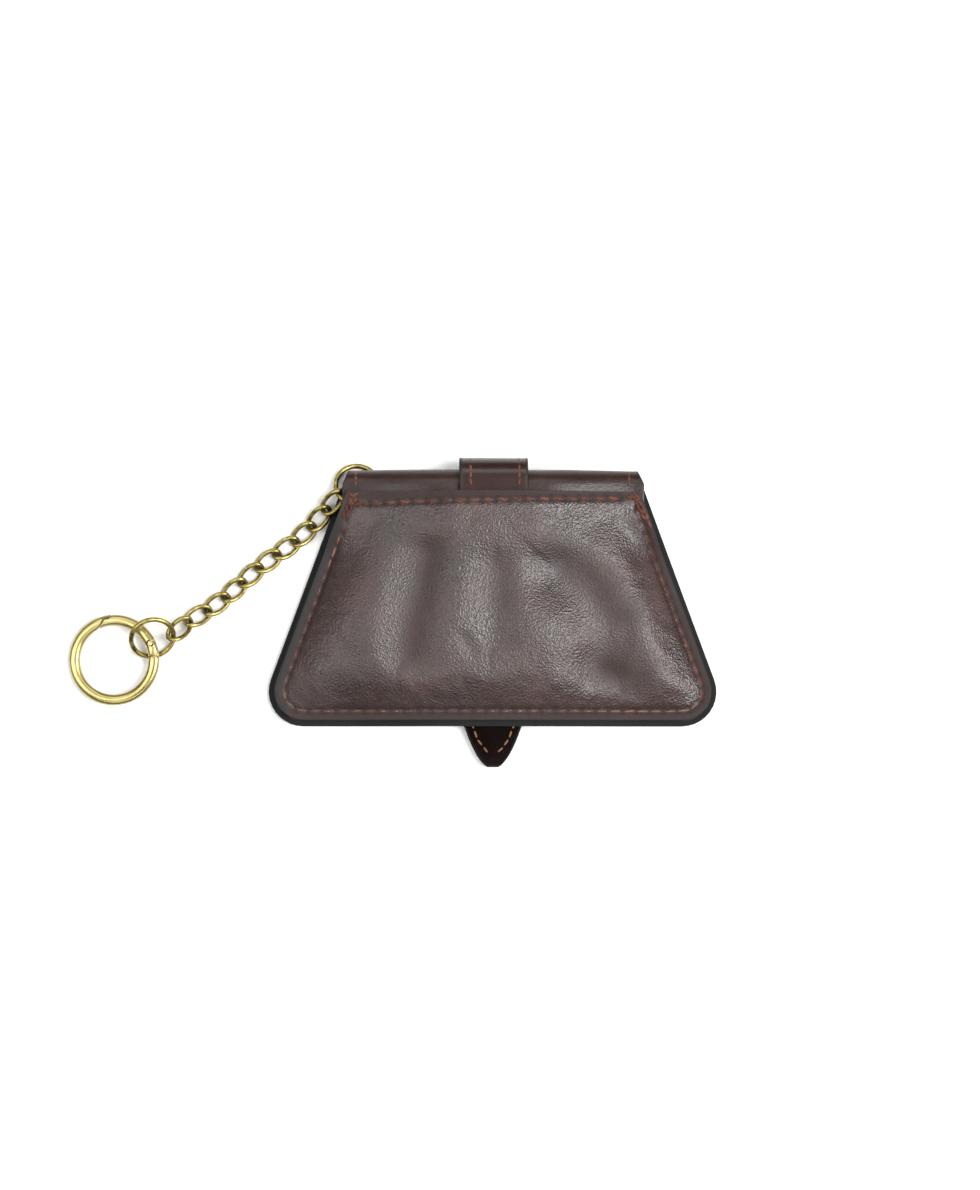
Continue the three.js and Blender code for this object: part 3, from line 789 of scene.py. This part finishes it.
def flapEdge(p):
    side = (sideAt(clamp(p.y, bag["bottomY"], bag["spineY"])) - abs(p.x)) / stretch
    onFront = p.z < spineHeight / 2 and p.y < bag["spineY"] - bag["bend"]
    inside = edgeDistance(p.x, p.y, 0, 99) if onFront else side
    reach = flap["paint"] if onFront else flap["spinePaint"]
    return 1 - smoothStep(inside, reach - 0.35, reach)


paint(flapPiece, "edge", lambda p, n: flapEdge(p))
paint(flapPiece, "pressed", lambda p, n: flapEdge(p))
# the grid is the outer face, so the wall grows to the inside
thicken(flapPiece, bag["flapLeather"], flap["wall"], 1)
print("flap and front panel made")

# Closing strap

strap = {"columns": 22, "tongueRows": 14, "frontRows": 40, "bendStep": 5, "tuckRows": 8, "wall": 0.4}


def strapHalfAt(y):
    share = clamp((y - bag["strapTip"]) / bag["tongue"])
    return math.sqrt(mix(bag["tipHalf"] ** 2, bag["strapHalf"] ** 2, share))


def strapMesh(inner, close, endAngle, tuck):
    bendRows = round((endAngle + 90) / strap["bendStep"])
    rows = strap["tongueRows"] + strap["frontRows"] + bendRows + (strap["tuckRows"] if tuck else 0)
    centreY = bag["spineY"] - bag["bend"]
    centreZ = strapStack + bag["bend"]
    tongueEnd = bag["strapTip"] + bag["tongue"]

    def place(u, v):
        row = v * rows
        frontRow = row - strap["tongueRows"]
        bendRow = frontRow - strap["frontRows"]
        tuckRow = bendRow - bendRows
        turn = mix(-90, endAngle, clamp(bendRow / bendRows))
        away = bag["bend"] + inner - close * smoothStep(turn, bag["tuckStart"], 90) + bag["strapLeather"]
        y = mix(bag["strapTip"], tongueEnd, clamp(row / strap["tongueRows"]) ** 2)
        if frontRow > 0:
            y = mix(tongueEnd, centreY, clamp(frontRow / strap["frontRows"]))
        x = (2 * u - 1) * strapHalfAt(y)
        if bendRow > 0:
            y = centreY + away * math.cos(math.radians(turn))
        if tuckRow > 0:
            y = mix(centreY, bag["backTop"] - tuck, tuckRow / strap["tuckRows"])
        return x, y, centreZ + away * math.sin(math.radians(turn))

    return sheetMesh(strap["columns"], rows, place)


def strapEdge(p):
    fromSide = strapHalfAt(p.y) - abs(p.x)
    return 1 - smoothStep(min(fromSide, (p.y - bag["strapTip"]) * 1.2), 0.15, 0.6)


outerInner = 2 * bag["gap"] + bag["strapLeather"]
outerPiece = newPiece(
    "strapOuter",
    strapMesh(outerInner, bag["strapLeather"] + bag["gap"], 90, bag["strapTuck"]),
    smoothBrownLeather, ["strap_outer"])
paint(outerPiece, "edge", lambda p, n: strapEdge(p))
paint(outerPiece, "pressed", lambda p, n: 1)
thicken(outerPiece, bag["strapLeather"], strap["wall"], 1)
liningPiece = newPiece(
    "strapLining",
    strapMesh(bag["gap"], 0, bag["liningEnd"], 0),
    glazedDarkLeather, ["strap_lining"])
paint(liningPiece, "edge", lambda p, n: strapEdge(p))
thicken(liningPiece, bag["strapLeather"], strap["wall"], 1)
print("strap made")

# Chain and rings

link = {
    "length": 9.12, "width": 5.62, "wire": 1.32, "twist": 45,
    "roundness": 0.75,  # 1 makes the link an ellipse, less makes its ends rounder
    "steps": 48, "sides": 12,
}
ring = {"bagRing": 12.9, "jumpRing": 13.2, "wire": 1.4, "steps": 96, "sides": 20}


def signedPower(value, exponent):
    return math.copysign(abs(value) ** exponent, value)


def fitOf(node):
    # the middle and the long, wide and flat directions of a node
    points = [v.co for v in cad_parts[node].data.vertices]
    low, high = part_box(node)
    middle = (low + high) / 2
    spread = numpy.array([list(p - middle) for p in points])
    middle += Vector(spread.mean(axis=0))
    spread -= spread.mean(axis=0)
    values, axes = numpy.linalg.eigh(spread.T @ spread)
    along, side = Vector(axes[:, 2]), Vector(axes[:, 1])
    return middle, along, side, along.cross(side)


def wireRing(radius, wire, steps, sides):
    bm = bmesh.new()
    bmesh.ops.create_circle(bm, segments=sides, radius=wire / 2)
    bmesh.ops.rotate(bm, verts=bm.verts, matrix=Matrix.Rotation(math.pi / 2, 3, "X"))
    bmesh.ops.translate(bm, verts=bm.verts, vec=(radius, 0, 0))
    bmesh.ops.spin(
        bm, geom=bm.edges[:], axis=(0, 0, 1), cent=(0, 0, 0),
        angle=math.tau, steps=steps, use_merge=True)
    bmesh.ops.remove_doubles(bm, verts=bm.verts, dist=wire * 0.01)
    bmesh.ops.recalc_face_normals(bm, faces=bm.faces)
    return bm


def layOver(bm, node):
    middle, along, side, flat = fitOf(node)
    turn = Matrix((along, side, flat)).transposed().to_4x4()
    bmesh.ops.transform(bm, verts=bm.verts, matrix=Matrix.Translation(middle) @ turn @ Matrix.Scale(mm, 4))


def makeLink(number):
    bm = wireRing(1, 1, link["steps"], link["sides"])
    halfLength = (link["length"] - link["wire"]) / 2
    halfWidth = (link["width"] - link["wire"]) / 2
    for v in bm.verts:
        around = math.hypot(v.co.x, v.co.y)
        c, s = v.co.x / around, v.co.y / around
        normal = Vector((
            halfWidth * signedPower(c, 2 - link["roundness"]),
            halfLength * signedPower(s, 2 - link["roundness"]),
        )).normalized()
        outward = (around - 1) * link["wire"]
        share = signedPower(c, link["roundness"])
        point = Vector((
            0,
            halfWidth * signedPower(s, link["roundness"]) + outward * normal.y,
            v.co.z * link["wire"],
        ))
        point.rotate(Matrix.Rotation(math.radians(link["twist"]) * share, 3, "X"))
        v.co = (halfLength * share + outward * normal.x, point.y, point.z)
    node = f"chain_link_{number:02d}"
    layOver(bm, node)
    newPiece(f"chainLink{number:02d}", bm, antiqueBrass, [node])


def makeRing(node, name):
    bm = wireRing((ring[name] - ring["wire"]) / 2, ring["wire"], ring["steps"], ring["sides"])
    layOver(bm, node)
    newPiece(name, bm, antiqueBrass, [node])


for number in range(1, 11):
    makeLink(number)
makeRing("bag_ring", "bagRing")
makeRing("jump_ring", "jumpRing")


cast = {"joined": 0.002, "segments": 2, "angle": math.radians(40)}


def castPiece(node, name, body, rounding):
    # the turned solid with its loose triangles joined, its faces smoothed and its sharp edges broken
    bm = bmesh.new()
    bm.from_mesh(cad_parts[node].data)
    bmesh.ops.remove_doubles(bm, verts=bm.verts, dist=cast["joined"] * mm)
    piece = newPiece(name, bm, polishedBrass, [node], body)
    edge = piece.modifiers.new("edge", "BEVEL")
    edge.width = rounding * mm
    edge.segments = cast["segments"]
    edge.limit_method = "ANGLE"
    edge.angle_limit = cast["angle"]
    piece.data.set_sharp_from_angle(angle=cast["angle"])


castPiece("spring_ring", "springRing", "satchel", 0.12)
castPiece("ring_gate", "ringGate", "gate", 0.12)
castPiece("gate_rivet", "gateRivet", "satchel", 0.15)
print("chain and rings made")

# Stitches


stitch = {
    "segments": 8, "rings": 6, "blunt": 0.75, "diveAt": 2.5,
    "flat": 0.8, "rise": 0.22,  # shares of the thread's thickness
    "sink": 0.35,  # mm
    "uneven": (0.92, 1.08),
}


def surfaceOf(piece):
    return BVHTree.FromObject(piece, bpy.context.evaluated_depsgraph_get())


def addStitch(bm, start, end, thickness, normal):
    along = end - start
    made = bmesh.ops.create_uvsphere(
        bm, u_segments=stitch["segments"], v_segments=stitch["rings"], radius=0.5)["verts"]
    side = normal.cross(along).normalized()
    lift = along.cross(side).normalized()
    for v in made:
        # a fat middle and ends that dive into their holes
        t = signedPower(2 * v.co.z, stitch["blunt"])
        dive = abs(t) ** stitch["diveAt"]
        girth = thickness * mm
        above = (thickness * stitch["rise"] - stitch["sink"] * dive) * mm
        v.co = (
            (start + end) / 2
            + along * (t * 0.5)
            + side * v.co.x * girth
            + lift * (v.co.y * girth * stitch["flat"] + above)
        )


def stitchRow(bm, surface, holes, thickness, share=0.84, skew=0.0, wobble=0.12):
    points = []
    for hole in holes:
        spot, normal, index, distance = surface.ray_cast(Vector((hole[0] * mm, hole[1] * mm, 0.05)), -up)
        if spot:
            points.append((spot, normal))
    for (a, normal), (b, other) in zip(points, points[1:]):
        middle = (a + b) / 2
        half = (b - a) * share / 2
        across = normal.cross(b - a).normalized()
        tilt = across * (skew + random.uniform(-wobble, wobble)) * mm
        reach = half * random.uniform(*stitch["uneven"]) + tilt
        addStitch(bm, middle - reach, middle + reach, thickness, (normal + other) / 2)


bpy.context.view_layer.update()
backSurface = surfaceOf(backPiece)
flapSurface = surfaceOf(flapPiece)
strapSurface = surfaceOf(outerPiece)
liningSurface = surfaceOf(liningPiece)


def stitchPiece(name, material, rows):
    bm = bmesh.new()
    for surface, holes, thickness, options in rows:
        stitchRow(bm, surface, holes, thickness, **options)
    newPiece(name, bm, material)


# the thread changes at the lower right corner
turn = next(i for i, hole in enumerate(roundSeam) if hole.x > 52 and hole.y > -30)
stitchPiece("sideStitches", rustThread, [
    (backSurface, roundSeam[:turn + 1], 0.56, {"skew": 0.12, "share": 0.93}),
])
stitchPiece("rightStitches", darkThread, [
    (backSurface, roundSeam[turn:], 0.8, {"skew": 0.28, "share": 0.97}),
])
stitchPiece("topStitches", darkThread, [
    (backSurface, topSeam, 1.0, {"skew": -0.34, "share": 0.78}),
])
# the seams' ends are sewn over twice or more
tacks = [
    [(-39.6, 28.2), (-37.2, 26.4), (-38.8, 24.6)],
    [(-37.4, 28.4), (-39.4, 26.2), (-40.8, 23.2), (-41.6, 20.8)],
    [(-40.2, 25.6), (-37.6, 25.2), (-34.6, 25.6)],
    [(-39.8, 27.0), (-38.4, 24.4), (-40.9, 21.9)],
    [(37.6, 28.3), (39.0, 26.0), (40.6, 23.2), (42.0, 20.0)],
    [(38.6, 28.4), (40.6, 25.0), (42.2, 21.6), (43.4, 18.0)],
    [(36.4, 27.4), (39.0, 27.0), (40.4, 25.4)],
    [(39.8, 27.6), (39.2, 24.4), (41.6, 22.8)],
]
stitchPiece("cornerTacks", darkThread, [
    (backSurface, seamLine(line, 2.1), 0.95, {"skew": 0.15, "share": 1.1, "wobble": 0.4}) for line in tacks
])
stitchPiece("spineStitches", darkThread, [
    (flapSurface, seamLine([(x, 34.6), (x, 28.9)], 1.45), 0.7, {"share": 0.95}) for x in (-37.8, 37.3)
])
stitchPiece("strapStitches", darkThread, [
    (strapSurface, seamLine([(x, 37.9), (x, 29.2)], 1.95), 0.75, {"share": 0.97}) for x in (-6.4, 6.9)
])
tongueLines = [
    [(side * (strapHalfAt(y) - 2.3), y) for y in (-34, -36, -38, -40)] + [(0.5 * side, -43.6)]
    for side in (-1, 1)
]
stitchPiece("tongueStitches", paleThread, [
    (liningSurface, seamLine(line, 2.6), 0.55, {}) for line in tongueLines
])
print("stitches made")

# The hidden stud stays as it is
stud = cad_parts["strap_stud"]
stud.data.materials.clear()
stud.data.materials.append(polishedBrass)

# Floor


table = {"half": 2.5, "under": 0.05, "colour": "#f7f7f6", "roughness": 0.85}  # m and mm


def makeFloor():
    bm = bmesh.new()
    bmesh.ops.create_grid(bm, x_segments=1, y_segments=1, size=table["half"])
    bmesh.ops.translate(bm, verts=bm.verts, vec=(0, 0, -table["under"] * mm))
    mesh = bpy.data.meshes.new("floor")
    bm.to_mesh(mesh)
    bm.free()
    floor = bpy.data.objects.new("floor", mesh)
    scene.collection.objects.link(floor)
    values = {"Base Color": hexColour(table["colour"]), "Roughness": table["roughness"]}
    mesh.materials.append(newMaterial("whiteTable", values)[0])


makeFloor()
